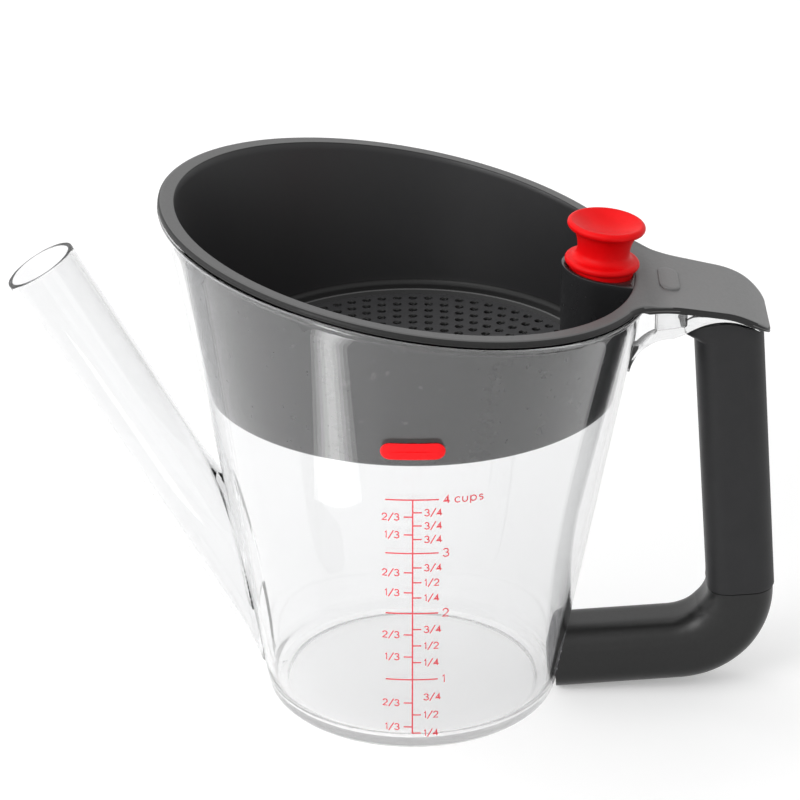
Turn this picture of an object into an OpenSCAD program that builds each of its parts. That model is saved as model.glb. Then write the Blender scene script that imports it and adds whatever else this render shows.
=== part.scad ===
// Gravy fat separator: a clear measuring jug with a low spout, a lift-out strainer and a stopper.
// Origin: centre of the jug's foot on the table. +Z is up, the spout points to -X, the handle to +X.
// Everything is symmetric about the XZ plane except the printed scale's ticks.

/* [Jug] */
// Outer radius of the wall's cone where it meets the table
base_r = 47.5; // [42:0.5:55]
// Lean of the wall outwards from upright, in degrees
wall_angle = 10.4; // [8:0.1:12]
// Thickness of the clear wall
jug_wall = 2; // [1.5:0.1:3]
// Rounding of the outer corner at the foot
corner_r = 5; // [3:0.5:7]
// Thickness of the jug's floor
jug_floor = 4; // [2.5:0.5:6]
// Height of the foot dish, where the wall begins
foot_h = 8; // [7:0.5:10]
// Width of the ring that the jug stands on
foot_ring = 1.5; // [1:0.5:4]
// Height of the ring that the jug stands on
foot_ring_h = 1; // [0.5:0.1:1.5]

/* [Rim] */
// Height of the jug's slanted edge on the centre line
rim_h = 159; // [150:1:170]
// Slope of the edge down towards the handle, in degrees
rim_tilt = 10.1; // [6:0.1:12]
// How far the bead under the edge stands out
lip_w = 1.5; // [1:0.1:2.5]
// Height of the bead
lip_h = 2.5; // [1.5:0.1:4]

/* [Spout] */
// Height at which the middle of the spout meets the outside of the wall
spout_root_h = 41; // [36:0.5:44]
// Height of the middle of the spout's mouth
spout_h = 151; // [141:1:155]
// Lean of the spout from upright, in degrees
spout_angle = 30.1; // [28:0.1:31]
// Outer radius of the spout at its mouth
spout_mouth_r = 11.9; // [10:0.1:13]
// Outer radius of the spout at its foot
spout_foot_r = 11.1; // [9.5:0.1:12]
// Thickness of the spout's wall
spout_wall = 1.5; // [1:0.1:2]
// Height of the window that lets the liquid into the spout
window_h = 32; // [24:1:40]

/* [Handle] */
// Width of the handle seen from the side
grip_w = 22; // [18:0.5:25]
// Thickness of the handle seen from the front
grip_d = 23; // [18:0.5:26]
// Rounding of the handle's edges
grip_round = 7.5; // [5:0.5:8.5]
// Lean of the handle's upright towards the jug, in degrees
handle_tilt = 4.6; // [3:0.1:6]
// Distance from the wall to the centre of the elbow's bend, measured level
elbow_out = 35.4; // [32:0.1:40]
// Height of the centre of the elbow's bend
elbow_z = 34.7; // [33:0.1:40]
// Radius of the elbow along the middle of the handle
elbow_r = 19.5; // [17:0.5:22]
// Length of the handle above the soft sleeve, up to the plane of the strainer's rim
collar_len = 18.5; // [16:0.5:24]
// Thickness of the soft sleeve
sleeve_wall = 3; // [2:0.1:4]
// Gap between a handle piece and the one that it sits in or on
fit_gap = 0.1; // [0.05:0.05:0.2]
// How far the collar's lip reaches towards the jug
collar_lip = 2.6; // [1.5:0.1:4]
// How much narrower the lip is than the collar, on each side
lip_step = 2; // [1:0.5:3]
// Height of the collar's lip
collar_lip_h = 5; // [3:0.5:7]
// Depth of the collar's top below the plane of the strainer's rim
collar_drop = 8.5; // [8:0.1:9.5]
// Length of the peg that enters the arm
peg_len = 9; // [6:0.5:14]
// Half the height of the peg
peg_half = 5.5; // [4:0.5:7]

/* [Bracket] */
// Half the width of the clear bracket under the tab
bracket_half = 9.5; // [8:0.5:11]
// Thickness of the bracket's plates
bracket_t = 2.4; // [1.8:0.1:3]
// How far the bracket's underside lies below the jug's edge next to it
bracket_h = 14; // [12:0.5:18]
// Radius of the bracket's blend into the wall
bracket_fillet = 14; // [8:0.5:15]
// How far the bracket's end lies past the centre of the elbow's bend
bracket_over = 21; // [16:0.1:22]

/* [Strainer] */
// Gap between the jug's wall and the strainer
basket_gap = 0.4; // [0.3:0.1:0.8]
// Thickness of the strainer's wall
basket_wall_t = 1.8; // [1.4:0.1:2.4]
// Depth of the strainer's underside below the jug's edge on the centre line
basket_depth = 46.8; // [41:0.2:52]
// Height of the perforated floor's underside above the strainer's lower edge
basket_foot = 1.3; // [1:0.1:2]
// Thickness of the perforated floor
basket_floor_t = 2; // [1.5:0.1:3]
// Width of the sloping border round the perforated floor
border_w = 3.5; // [2.5:0.1:5]
// Rise of the sloping border
border_rise = 1.2; // [0.8:0.1:2]
// Width of the border's level top next to the wall
border_edge = 2; // [1:0.1:2.4]
// Rounding of the strainer's lower corner
basket_round = 1.5; // [1:0.1:1.7]
// Diameter of one hole in the floor
hole_d = 2.5; // [1.5:0.1:3]
// Distance between rings of holes
hole_pitch = 5.02; // [4.4:0.02:8]
// Thickness of the strainer's rim on top of the jug's edge
flange_t = 2; // [1.5:0.1:3]
// How far the strainer's rim stands out past the jug's wall
flange_over = 0.8; // [0.4:0.1:1.4]
// Gap between the jug's edge and the strainer's rim
seat_gap = 0.3; // [0.2:0.05:0.5]

/* [Thumb tab] */
// Distance from the strainer's rim to the tab's far end, measured level
tab_len = 38; // [34:0.5:42]
// Half the width of the tab at its root
tab_root_half = 22; // [20:0.5:24]
// Half the width of the tab at its far end, as if its corners were sharp
tab_end_half = 18; // [15:0.1:20]
// Rounding of the tab's far corners
tab_corner = 5; // [3:0.5:8]
// Radius of the blends between the tab and the rim
tab_blend = 24; // [16:1:28]
// Thickness of the tab
tab_t = 2.2; // [1.8:0.1:3]
// How far the tab's top lies below the plane of the strainer's rim
tab_sink = 0.8; // [0.2:0.1:1]
// Length of the tab from the rim to where it starts to bend down
tab_straight = 23; // [19:0.5:26]
// Radius of the tab's bend
bend_r = 27.5; // [24:0.5:40]
// Distance from the rim to the middle of the plain badge on the tab
tab_badge_out = 6; // [4:0.5:9]
// Length of the tab's badge, across the tab
tab_badge_len = 17; // [12:0.5:20]
// Width of the tab's badge
tab_badge_w = 6.6; // [5:0.1:8]
// Height of the tab's badge
tab_badge_t = 0.8; // [0.4:0.1:1.2]

/* [Stopper socket] */
// Least distance between the socket's bore and the inside of the strainer's wall, at the mouth
socket_land = 0.4; // [0.3:0.05:2]
// Outer radius of the socket at its mouth
socket_r = 12.5; // [11.5:0.1:13.5]
// Thickness of the socket's wall
socket_wall = 1.6; // [1.2:0.1:2]
// How far the socket's mouth lies below the strainer's rim
socket_drop = 0.6; // [0.3:0.1:1.5]

/* [Stopper] */
// Gap between the plug and the socket
plug_gap = 0.5; // [0.3:0.1:0.8]
// Length of the plug inside the socket
plug_len = 12; // [8:0.5:16]
// How far the stopper's lower flange stands out past its plug
stopper_ledge = 1.6; // [1:0.1:2]
// Thickness of the stopper's lower flange
stopper_flange_t = 2.5; // [2:0.1:3.5]
// Gap between the highest point of the socket's mouth and the stopper's flange
stopper_gap = 0.23; // [0.15:0.01:0.5]
// Radius of the stopper's neck
neck_r = 8.4; // [7:0.1:9]
// Height of the neck above the socket's mouth
neck_h = 6.3; // [5.5:0.1:8]
// Radius of the stopper's top
knob_r = 12.5; // [11:0.1:14]
// Height of the stopper's top above the socket's mouth
knob_h = 16.2; // [14:0.1:18]
// Thickness of the stopper's top edge
knob_edge = 2.6; // [2:0.1:4]
// Depth of the hollow in the stopper's top
knob_dish = 3; // [1.5:0.1:4]
// Width of the bevel at the plug's end
plug_bevel = 1; // [0.5:0.1:2]

/* [Printed scale] */
// Number of cups on the scale
cups = 4; // [2:1:4]
// Rise of the scale for each cup, if the jug were as narrow all the way as at its foot
cup_rise = 31.4; // [28:0.1:33]
// How much less each further cup rises because the jug widens
cup_close = 1.54; // [1.2:0.02:1.8]
// Distance of the scale's upright line from the middle
scale_x = 0; // [-6:0.5:6]
// Thickness of the print
print_t = 0.15; // [0.1:0.05:0.3]
// Width of the printed lines
line_w = 0.5; // [0.3:0.05:1]
// Half the length of a whole cup's bar
bar_half = 8.4; // [6:0.1:11]
// Length of a part cup's tick
tick_len = 2.8; // [2:0.1:5]
// Height of the middle of the plain badge on the wall
wall_badge_h = 118.8; // [117:0.2:124]
// Length of the plain badge on the wall
wall_badge_len = 20; // [16:0.5:26]
// Width of the plain badge on the wall
wall_badge_w = 6; // [4:0.1:7]

/* [Hidden] */
$fn = 96;

clear_plastic = [0.86, 0.88, 0.9, 0.45];
black_plastic = [0.2, 0.2, 0.21];
soft_black = [0.13, 0.13, 0.14];
grey_plastic = [0.33, 0.33, 0.34];
red_silicone = [0.86, 0.06, 0.08];
red_print = [0.84, 0.22, 0.26];

reach_all = 300;                       // longer than anything that is cut
past = 1;                              // how far a cut runs past the face that it leaves through
wall_top = 200;                        // above the highest point of the rim
scale_gap = 0.02;                      // between the print and the wall

// Outer radius of the jug's wall at a height, less an inset measured level
wall_slope = tan(wall_angle);
function wall_r(z, inset = 0) = base_r + wall_slope * z - inset;

// Distance from the centre line at which a cone inside the wall meets a plane parallel to the rim's
rim_slope = tan(rim_tilt);
function meets_rim(h, inset) = wall_r(h, inset) / (1 + wall_slope * rim_slope);

// Spout
spout_reach = wall_r(spout_root_h) + (spout_h - spout_root_h) * tan(spout_angle);
spout_len = (spout_h - foot_h) / cos(spout_angle);

// Strainer
basket_out = jug_wall + basket_gap;
basket_in = basket_out + basket_wall_t;
basket_low = rim_h - basket_depth;
floor_low = basket_low + basket_foot;
floor_top = floor_low + basket_floor_t;
floor_r = wall_r(floor_low, basket_in) - fit_gap;
border_in = floor_r - border_w;
border_top = floor_top + border_rise;
hole_rings = floor((border_in - hole_d / 2) / hole_pitch);
flange_top = seat_gap + flange_t;
collar_top = flange_top - collar_drop;

// Tab, bracket and handle
rim_reach = meets_rim(rim_h + flange_top, -flange_over);
tab_reach = rim_reach + tab_len;
bend_reach = rim_reach / cos(rim_tilt) + tab_straight;
bracket_drop = tab_t + seat_gap;
bracket_low = rim_h - rim_reach * rim_slope - bracket_h;
pocket_x = meets_rim(rim_h, -lip_w) + bracket_t / 2;
elbow_x = wall_r(elbow_z) + elbow_out;
post_x = elbow_x + elbow_r * cos(handle_tilt);
post_z = elbow_z + elbow_r * sin(handle_tilt);
post_len = (rim_h + flange_top - rim_slope * post_x - post_z)
    / (cos(handle_tilt) - rim_slope * sin(handle_tilt));
sleeve_len = post_len - collar_len;

// Socket and stopper: the socket leans half as much as the wall that it runs down beside
socket_tilt = wall_angle / 2;
socket_bore_r = socket_r - socket_wall;
mouth_plane = rim_h + flange_top - socket_drop;
socket_x = meets_rim(mouth_plane, basket_in + socket_land + socket_bore_r);
mouth_z = mouth_plane - socket_x * rim_slope;
socket_depth = mouth_z - floor_low;
plug_r = socket_bore_r - plug_gap;
stopper_flange_r = plug_r + stopper_ledge;
stopper_seat = socket_r * tan(rim_tilt - socket_tilt) + stopper_gap;

// Points of an arc, for outlines
function arc(centre, r, from, to, steps = 8) =
    [for (i = [0 : steps]) let (a = from + (to - from) * i / steps)
        centre + r * [cos(a), sin(a)]];

// Solid cone inside the jug's wall, up to a height
module wall_cone(inset, top = wall_top)
    cylinder(h = top, r1 = wall_r(0, inset), r2 = wall_r(top, inset));

// Half space below the rim's plane, raised by lift
module under_rim(lift)
    translate([0, 0, rim_h + lift]) rotate([0, rim_tilt, 0])
        translate([-reach_all, -reach_all, -reach_all]) cube([2 * reach_all, 2 * reach_all, reach_all]);

// Extrudes an outline drawn in the XZ plane to both sides of it
module from_side(width)
    rotate([90, 0, 0]) linear_extrude(width, center = true) children();

// Outline with round ends, along X
module pill(length, width) {
    square([length - width, width], center = true);
    for (side = [-1, 1]) translate([side * (length - width) / 2, 0]) circle(width / 2);
}

// Rectangle with round corners
module round_rect(size, r) {
    square([size.x - 2 * r, size.y], center = true);
    square([size.x, size.y - 2 * r], center = true);
    for (x = [-1, 1], y = [-1, 1])
        translate([x * (size.x / 2 - r), y * (size.y / 2 - r)]) circle(r);
}

// ---- Jug ----

// The jug's outer shape, with the rounded foot
module jug_outside()
    let (corner_x = wall_r(corner_r) - corner_r / cos(wall_angle))
    rotate_extrude() polygon(concat(
        [[0, 0]], arc([corner_x, corner_r], corner_r, -90, -wall_angle),
        [[wall_r(wall_top), wall_top], [0, wall_top]]));

module jug_shell()
    difference() {
        jug_outside();
        translate([0, 0, jug_floor]) cylinder(
            h = wall_top, r1 = wall_r(jug_floor, jug_wall), r2 = wall_r(jug_floor + wall_top, jug_wall));
        translate([0, 0, -past]) cylinder(
            h = past + foot_ring_h, r = wall_r(0) - corner_r - foot_ring);
    }

module jug_wall() color(clear_plastic)
    difference() {
        intersection() {
            jug_shell();
            translate([-reach_all / 2, -reach_all / 2, foot_h]) cube([reach_all, reach_all, wall_top]);
            under_rim(0);
        }
        intersection() {
            spout_bore();
            cylinder(h = window_h, r = reach_all);
        }
    }

module jug_foot() color(clear_plastic)
    intersection() {
        jug_shell();
        cylinder(h = foot_h, r = reach_all);
    }

module rim_bead() color(clear_plastic)
    difference() {
        intersection() {
            wall_cone(-lip_w);
            under_rim(0);
        }
        under_rim(-lip_h);
        wall_cone(0);
    }

// Places its children with +Z along the spout, out of the mouth
module along_spout()
    translate([-spout_reach, 0, spout_h]) rotate([0, -spout_angle, 0]) children();

module spout_bore()
    along_spout() translate([0, 0, -spout_len])
        cylinder(h = spout_len + past, r1 = spout_foot_r - spout_wall, r2 = spout_mouth_r - spout_wall);

module spout_tube() color(clear_plastic)
    difference() {
        along_spout() translate([0, 0, -spout_len])
            cylinder(h = spout_len, r1 = spout_foot_r, r2 = spout_mouth_r);
        spout_bore();
        wall_cone(0);
    }

// ---- Bracket and peg, part of the clear moulding ----

// Outline below the tab's top, lowered by drop, in the XZ plane
module tab_side(drop)
    translate([0, rim_h + flange_top - tab_sink]) rotate(-rim_tilt) {
        translate([0, -reach_all - drop]) square([bend_reach, reach_all]);
        translate([bend_reach, -bend_r]) intersection() {
            circle(bend_r - drop, $fn = 360);
            square(bend_r);
        }
    }

module handle_bracket() color(clear_plastic)
    let (fillet_z = bracket_low - bracket_fillet,
         fillet_x = wall_r(fillet_z) + bracket_fillet / cos(wall_angle),
         fillet_start = fillet_z + bracket_fillet * sin(wall_angle), end_x = elbow_x - collar_lip)
    difference() {
        union() {
            from_side(2 * bracket_half) intersection() {
                tab_side(bracket_drop);
                translate([0, bracket_low]) square([end_x, reach_all]);
            }
            difference() {
                from_side(2 * bracket_half) intersection() {
                    tab_side(bracket_drop);
                    translate([end_x - bracket_t, 0])
                        square([elbow_x + bracket_over - end_x + bracket_t, reach_all]);
                }
                under_rim(collar_top + fit_gap);
            }
            from_side(2 * bracket_half) difference() {
                translate([0, fillet_start]) square([fillet_x, bracket_low - fillet_start]);
                translate([fillet_x, fillet_z]) circle(bracket_fillet);
            }
        }
        wall_cone(0);
        rim_bead_room();
        from_side(2 * (bracket_half - bracket_t)) translate([pocket_x, bracket_low + bracket_t])
            square([end_x - bracket_t - pocket_x, reach_all]);
    }

// Room for the bead, so that the bracket meets it face to face
module rim_bead_room()
    difference() {
        wall_cone(-lip_w);
        under_rim(-lip_h);
    }

// Places its children in the handle's own frame, centred on the elbow's bend
module in_handle()
    translate([elbow_x, 0, elbow_z]) rotate([0, -handle_tilt, 0]) children();

module arm_peg() color(clear_plastic)
    difference() {
        in_handle() translate([-elbow_x, -peg_half, -elbow_r - peg_half])
            cube([elbow_x + peg_end(), 2 * peg_half, 2 * peg_half]);
        wall_cone(0);
    }

// Place of the peg's end along the arm
function peg_end() = wall_r(elbow_z - elbow_r) + peg_len - elbow_x;

// ---- Handle ----

module grip_section(inset = 0)
    round_rect([grip_w - 2 * inset, grip_d - 2 * inset], grip_round - inset);

module handle_arm() color(black_plastic)
    difference() {
        in_handle() {
            rotate([90, 0, 0]) rotate([0, 0, -90]) rotate_extrude(angle = 90)
                translate([elbow_r, 0]) grip_section();
            translate([0, 0, -elbow_r]) rotate([0, -90, 0]) linear_extrude(elbow_x - base_r + jug_wall)
                grip_section();
        }
        wall_cone(-fit_gap);
        in_handle() translate([-elbow_x, -peg_half - fit_gap, -elbow_r - peg_half - fit_gap])
            cube([elbow_x + peg_end() + fit_gap, 2 * (peg_half + fit_gap), 2 * (peg_half + fit_gap)]);
    }

module grip_sleeve() color(soft_black)
    in_handle() translate([elbow_r, 0, 0]) linear_extrude(sleeve_len) difference() {
        grip_section();
        grip_section(sleeve_wall);
    }

module handle_core() color(black_plastic)
    in_handle() translate([elbow_r, 0, 0]) linear_extrude(sleeve_len)
        grip_section(sleeve_wall + fit_gap);

module grip_collar() color(black_plastic)
    intersection() {
        in_handle() union() {
            translate([elbow_r, 0, sleeve_len]) linear_extrude(reach_all) grip_section();
            translate([elbow_r - collar_lip, 0, sleeve_len + collar_lip_h / 2]) linear_extrude(reach_all)
                round_rect([grip_w, grip_d - 2 * lip_step], grip_round - lip_step);
        }
        under_rim(collar_top);
        from_side(reach_all) tab_side(bracket_drop + fit_gap);
    }

// ---- Print on the jug ----

// Height at which the jug holds a number of cups
function mark_z(n) = cup_rise * n - cup_close * n * n;

// Thin skin on the front of the jug, cut to what its children cover
module on_wall(thickness)
    intersection() {
        difference() {
            wall_cone(-scale_gap - thickness);
            wall_cone(-scale_gap);
        }
        translate([0, -base_r, 0]) from_side(2 * base_r) children();
    }

module bar(from, to, z)
    translate([scale_x + from, z - line_w / 2]) square([to - from, line_w]);

module cup_scale() color(red_print)
    on_wall(print_t) {
        translate([scale_x - line_w / 2, mark_z(1 / 4) - line_w / 2])
            square([line_w, mark_z(cups) - mark_z(1 / 4) + line_w]);
        for (n = [1 : cups]) bar(-bar_half, bar_half, mark_z(n));
        for (n = [0 : cups - 1], part = [1 : 3])
            if (n > 0 || part < 3) bar(0, tick_len, mark_z(n + part / 4));
        for (n = [0 : cups - 1], part = [1 : 2]) bar(-tick_len, 0, mark_z(n + part / 3));
    }

module wall_badge() color(red_silicone)
    on_wall(2 * print_t) translate([scale_x, wall_badge_h]) pill(wall_badge_len, wall_badge_w);

// ---- Strainer ----

module strainer_wall() color(grey_plastic)
    intersection() {
        difference() {
            strainer_outside();
            translate([0, 0, basket_low - past]) cylinder(
                h = wall_top, r1 = wall_r(basket_low - past, basket_in),
                r2 = wall_r(basket_low - past + wall_top, basket_in));
        }
        under_rim(seat_gap);
    }

// The strainer's outer cone with its rounded lower corner
module strainer_outside()
    let (corner_z = basket_low + basket_round,
         corner_x = wall_r(corner_z, basket_out) - basket_round / cos(wall_angle))
    rotate_extrude() polygon(concat(
        [[0, basket_low]], arc([corner_x, corner_z], basket_round, -90, -wall_angle),
        [[wall_r(wall_top, basket_out), wall_top], [0, wall_top]]));

// Centre of the socket's bore at a height
function socket_at(z) = socket_x - (mouth_z - z) * tan(socket_tilt);

module strainer_floor() color(grey_plastic)
    let (keep_clear = socket_r - socket_depth * tan(socket_tilt) + hole_d)
    difference() {
        translate([0, 0, floor_low]) cylinder(h = basket_floor_t, r = border_in);
        socket_bore();
        floor_hole([0, 0]);
        for (ring = [1 : hole_rings], i = [0 : 6 * ring - 1])
            let (a = 60 * i / ring + 30, spot = ring * hole_pitch * [cos(a), sin(a)])
            if (norm(spot - [socket_at(floor_low), 0]) > keep_clear) floor_hole(spot);
    }

module floor_border() color(grey_plastic)
    difference() {
        rotate_extrude() polygon([
            [border_in, floor_low], [floor_r, floor_low],
            [floor_r + wall_slope * (border_top - floor_low), border_top],
            [floor_r - border_edge, border_top], [border_in, floor_top]]);
        socket_bore();
    }

module floor_hole(spot)
    translate([spot.x, spot.y, floor_low - past])
        cylinder(h = basket_floor_t + 2 * past, d = hole_d, $fn = 24);

module strainer_rim() color(grey_plastic)
    difference() {
        intersection() {
            wall_cone(-flange_over);
            under_rim(flange_top);
        }
        under_rim(seat_gap);
        wall_cone(basket_in);
    }

// Places its children on the socket's axis, at its mouth
module in_socket()
    translate([socket_x, 0, mouth_z]) rotate([0, socket_tilt, 0]) children();

// Cone along the socket's axis, from a depth to a height, with its radius at the mouth
module socket_cone(r, depth, height)
    translate([0, 0, -depth]) cylinder(
        h = depth + height, r1 = r - depth * tan(socket_tilt), r2 = r + height * tan(socket_tilt));

// Cone down the whole socket and past both its ends
module socket_through(r)
    in_socket() socket_cone(r, socket_depth + 4 * past, 5 * past);

module socket_bore() socket_through(socket_bore_r);

module stopper_socket() color(black_plastic)
    difference() {
        intersection() {
            socket_through(socket_r);
            wall_cone(basket_in + fit_gap);
            under_rim(flange_top - socket_drop);
            translate([0, -reach_all / 2, floor_top]) cube([reach_all, reach_all, reach_all]);
        }
        socket_bore();
        border_room();
    }

// Room for the floor's sloping border
module border_room()
    rotate_extrude() polygon([
        [border_in - fit_gap, floor_top], [floor_r - border_edge - fit_gap, border_top + fit_gap],
        [floor_r + border_w, border_top + fit_gap], [floor_r + border_w, floor_top - past],
        [border_in - fit_gap, floor_top - past]]);

// Outline of the tab from above: its sides taper, and a blend joins each to the round rim
module tab_plan()
    let (taper = atan((tab_root_half - tab_end_half) / tab_len),
         along = [cos(taper), -sin(taper)], out = [sin(taper), cos(taper)],
         root = [rim_reach, tab_root_half] + tab_blend * out, ahead = root * along,
         blend_at = root
             + (sqrt(ahead * ahead - root * root + pow(rim_reach + tab_blend, 2)) - ahead) * along,
         corner_x = tab_reach - tab_corner,
         corner_at = [corner_x, tab_root_half - (corner_x - rim_reach) * tan(taper)
             - tab_corner / cos(taper)],
         half = concat(
             arc(blend_at, tab_blend, 180 + atan2(blend_at.y, blend_at.x), 270 - taper),
             arc(corner_at, tab_corner, 90 - taper, 0)))
    polygon(concat([[0, 0]], half, [for (i = [len(half) - 1 : -1 : 0]) [half[i].x, -half[i].y]]));

module thumb_tab() color(grey_plastic)
    difference() {
        intersection() {
            linear_extrude(wall_top) tab_plan();
            from_side(reach_all) difference() {
                tab_side(0);
                tab_side(tab_t);
            }
        }
        wall_cone(-flange_over);
        bead_room();
    }

// Room for the jug's bead below the tab
module bead_room()
    intersection() {
        wall_cone(-lip_w - seat_gap);
        under_rim(seat_gap);
    }

module tab_badge() color(grey_plastic)
    difference() {
        translate([rim_reach + tab_badge_out, 0, bracket_low]) linear_extrude(2 * bracket_h)
            rotate(90) pill(tab_badge_len, tab_badge_w);
        from_side(reach_all) tab_side(0);
        translate([0, 0, tab_badge_t]) difference() {
            translate([0, -reach_all / 2, 0]) cube([reach_all, reach_all, reach_all]);
            from_side(reach_all) tab_side(0);
        }
    }

// ---- Stopper ----

// Points of a smooth flare between two radii
function flare(r1, h1, r2, h2, steps = 8) =
    [for (i = [0 : steps]) let (t = i / steps)
        [r1 + (r2 - r1) * (1 - cos(90 * t)), h1 + (h2 - h1) * sin(90 * t)]];

module stopper() color(red_silicone)
    let (plug_end = plug_r - plug_len * tan(socket_tilt),
         edge = stopper_flange_t / 2, flange_mid = stopper_seat + edge, knob_mid = knob_h - knob_edge / 2,
         lower = flare(neck_r, neck_h, stopper_flange_r - edge, stopper_seat + stopper_flange_t),
         upper = flare(neck_r, neck_h, knob_r - knob_edge / 2, knob_h - knob_edge))
    in_socket() rotate_extrude() polygon(concat(
        [[0, -plug_len], [plug_end - plug_bevel, -plug_len], [plug_end, -plug_len + plug_bevel], [plug_r, 0],
         [plug_r, stopper_seat]],
        arc([stopper_flange_r - edge, flange_mid], edge, -90, 90),
        [for (i = [7 : -1 : 0]) lower[i]],
        [for (i = [1 : 7]) upper[i]],
        arc([knob_r - knob_edge / 2, knob_mid], knob_edge / 2, -90, 90),
        [for (i = [1 : 8]) let (t = i / 8)
            [(knob_r - knob_edge / 2) * (1 - t), knob_h - knob_dish * sin(90 * t)]]));

jug_wall();
jug_foot();
rim_bead();
spout_tube();
handle_bracket();
arm_peg();
handle_arm();
handle_core();
grip_sleeve();
grip_collar();
cup_scale();
wall_badge();
strainer_wall();
strainer_floor();
floor_border();
strainer_rim();
stopper_socket();
thumb_tab();
tab_badge();
stopper();
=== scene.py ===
"""Looks of the gravy fat separator: clear jug, grey strainer, red stopper and black handle.

Lengths are in millimetres until a mesh is made. +Z is up, the spout points to -X, the handle to +X.
"""
import math

import bmesh
import bpy
import numpy as np
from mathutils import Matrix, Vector
from mathutils.geometry import delaunay_2d_cdt

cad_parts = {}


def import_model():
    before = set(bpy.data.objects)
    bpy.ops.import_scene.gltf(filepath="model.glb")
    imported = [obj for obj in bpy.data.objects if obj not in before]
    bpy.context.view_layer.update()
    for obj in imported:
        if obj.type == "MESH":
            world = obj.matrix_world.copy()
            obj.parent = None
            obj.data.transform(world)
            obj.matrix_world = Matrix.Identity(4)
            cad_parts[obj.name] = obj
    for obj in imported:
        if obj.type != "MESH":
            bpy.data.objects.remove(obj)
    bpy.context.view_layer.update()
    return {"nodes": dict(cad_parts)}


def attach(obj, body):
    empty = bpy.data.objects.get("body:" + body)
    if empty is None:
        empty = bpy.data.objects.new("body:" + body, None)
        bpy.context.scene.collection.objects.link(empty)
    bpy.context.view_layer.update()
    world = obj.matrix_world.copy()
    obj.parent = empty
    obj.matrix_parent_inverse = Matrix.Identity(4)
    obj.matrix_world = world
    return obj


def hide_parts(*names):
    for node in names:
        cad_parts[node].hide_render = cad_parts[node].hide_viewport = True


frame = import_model()

MM = 0.001
TURN = 2 * math.pi

# ---- Sizes: mostly the source's, and small forms of the looks ----

BASE_R = 47.5
WALL_TILT_DEG = 10.4
WALL_TILT = math.radians(WALL_TILT_DEG)
WALL_SLOPE = math.tan(WALL_TILT)
JUG_WALL = 2.0
CORNER_R = 5.0
JUG_FLOOR = 4.0
FOOT_RING = 1.5
FOOT_RING_H = 1.0

RIM_H = 159.0
RIM_TILT = math.radians(10.1)
RIM_SLOPE = math.tan(RIM_TILT)
LIP_W = 1.5
LIP_H = 2.5
LIP_ROUND = 0.5

SPOUT_H = 151.0
SPOUT_ANGLE = math.radians(30.1)
SPOUT_ROOT_H = 41.0
SPOUT_MOUTH_R = 11.9
SPOUT_FOOT_R = 11.1
SPOUT_WALL = 1.5
WINDOW_H = 32.0
FOOT_H = 8.0
FILLET_REACH = 7.0
FILLET_OUT = 0.8
FILLET_WEB = 1.8

GRIP_W = 22.0
GRIP_D = 23.0
GRIP_ROUND = 7.5
HANDLE_TILT = math.radians(4.6)
ELBOW_OUT = 35.4
ELBOW_Z = 34.7
ELBOW_R = 19.5
ELBOW_INNER = 5.0
ELBOW_OUTER = 2.7
COLLAR_LEN = 18.5
COLLAR_LIP = 2.6
COLLAR_POINT = 1.65 * COLLAR_LIP
COLLAR_DROP = 8.5
COLLAR_PEAK = 9.9
COLLAR_ARCH = 0.15
COLLAR_CURVE = 0.0267
COLLAR_LIP_DROP = 14.7
COLLAR_LIP_RISE = 2.6
SEAM = 1.9
SEAM_STEP = 0.45
ARM_SEAT = 0.3

BRACKET_HALF = 9.5
BRACKET_T = 2.4
BRACKET_H = 14.0
BRACKET_FILLET = 14.0
BRACKET_OVER = 21.0
BRIDGE_SAG = 2.0
BRIDGE_END_SAG = 0.5
BRIDGE_T = 1.9

BASKET_GAP = 0.4
BASKET_WALL = 1.8
BASKET_DEPTH = 46.8
BASKET_FOOT = 1.3
BASKET_FLOOR = 2.0
BASKET_ROUND = 1.5
BORDER_W = 5.3
BORDER_RISE = 1.2
BORDER_ROUND = 2.0
HOLE_D = 2.5
HOLE_PITCH = 5.02
FLANGE_T = 2.0
FLANGE_OVER = 0.8
SEAT_GAP = 0.3
FIT_GAP = 0.1

TAB_LEN = 38.0
TAB_ROOT_HALF = 22.0
TAB_END_HALF = 18.0
TAB_CORNER = 9.0
TAB_BLEND = 24.0
TAB_T = 2.2
TAB_SINK = 0.8
TAB_STRAIGHT = 23.0
TAB_BEND_R = 27.5
TAB_BADGE_OUT = 6.0
TAB_BADGE_LEN = 17.0
TAB_BADGE_W = 6.6
TAB_BADGE_T = 0.8

SOCKET_LAND = 0.4
SOCKET_R = 12.5
SOCKET_WALL = 1.6
SOCKET_DROP = 0.6
SOCKET_TILT = math.radians(WALL_TILT_DEG / 2)

PLUG_GAP = 0.5
PLUG_LEN = 12.0
STOPPER_LEDGE = 1.6
STOPPER_FLANGE_T = 2.5
STOPPER_GAP = 0.23
SEATED_ASIDE = 0.3
NECK_R = 8.4
NECK_H = 6.3
KNOB_R = 12.5
KNOB_H = 16.2
KNOB_EDGE = 2.6
KNOB_DISH = 3.0

CUPS = 4
CUP_RISE = 31.36
CUP_CLOSE = 1.55
LINE_W = 0.5
BAR_HALF = 8.5
TICK_LEN = 2.8
WALL_BADGE_H = 118.8
WALL_BADGE_LEN = 20.0
WALL_BADGE_W = 6.0
SIGN_H = 2.5
BIG_SIGN_H = 3.05
PRINT_LIFT = 0.02
PRINT_T = 0.1

# ---- Fineness of the meshes, light and camera ----

JUG_STEPS = 288
TUBE_STEPS = 120
STOPPER_STEPS = 160
DISC_STEPS = 180
HOLE_STEPS = 20

FLOOR_HALF = 4.0
FLOOR_GLOW = 0.28
LENS = 159.7
CAMERA_AT = (-0.00052, -1.03916, 0.59405)
CAMERA_DOWN = math.radians(25.27)
CAMERA_TURN = math.radians(0.2)


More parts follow.
